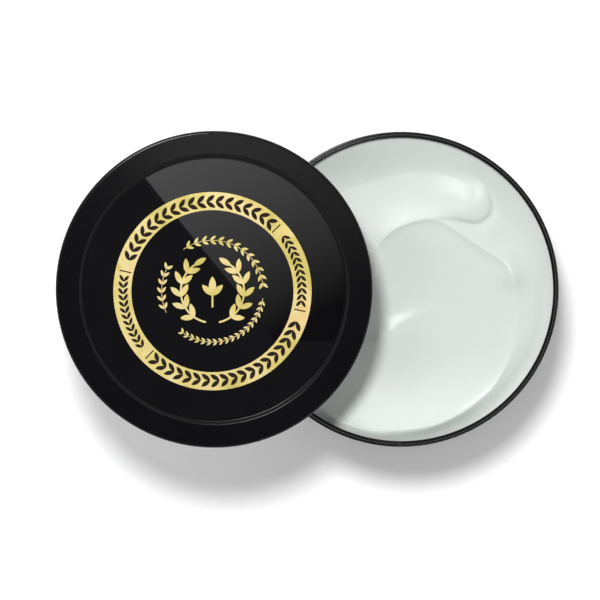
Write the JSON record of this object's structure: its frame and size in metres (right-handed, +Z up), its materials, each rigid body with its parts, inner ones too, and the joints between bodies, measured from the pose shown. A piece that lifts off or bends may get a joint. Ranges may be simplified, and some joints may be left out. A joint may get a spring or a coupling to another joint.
{
  "type": "cosmetic cream jar",
  "caption": "Low round black screw tin full of pale cream, with its lid held level beside and above the mouth; the lid slides over the mouth and turns.",
  "frame": {"origin": "centre of the ring that the tin stands on, at floor level", "axes": "+Z up along the tin's axis; the lid stands off towards -X; +Y is the back, away from someone in front"},
  "size_m": [0.1369, 0.086, 0.0583],
  "materials": {
    "tin_lacquer": "black satin lacquer on aluminium",
    "lid_lacquer": "black satin lacquer on aluminium",
    "cream": "soft wet cream, pale mint white",
    "base_sticker": "matt printed film",
    "foam_wad": "closed-cell foam",
    "gloss_label": "high-gloss laminated film",
    "gold_foil": "pale gold hot-stamped foil"
  },
  "bodies": {
    "jar": {"jar_body": "tin_lacquer", "cream_fill": "cream", "base_label": "base_sticker"},
    "wad": {"lid_liner": "foam_wad"},
    "lid": {"lid_shell": "lid_lacquer", "lid_label": "gloss_label", "foil_ring": "gold_foil", "foil_emblem": "gold_foil"}
  },
  "joints": [
    {"name": "lid_across", "type": "slide", "parent": "jar", "child": "wad", "axis": [1, 0, 0], "range_m": [-0.04, 0.0509]},
    {"name": "lid_turn", "type": "hinge", "parent": "wad", "child": "lid", "pos_m": [-0.0509, 0, 0.0433], "axis": [0, 0, 1], "continuous": true}
  ]
}
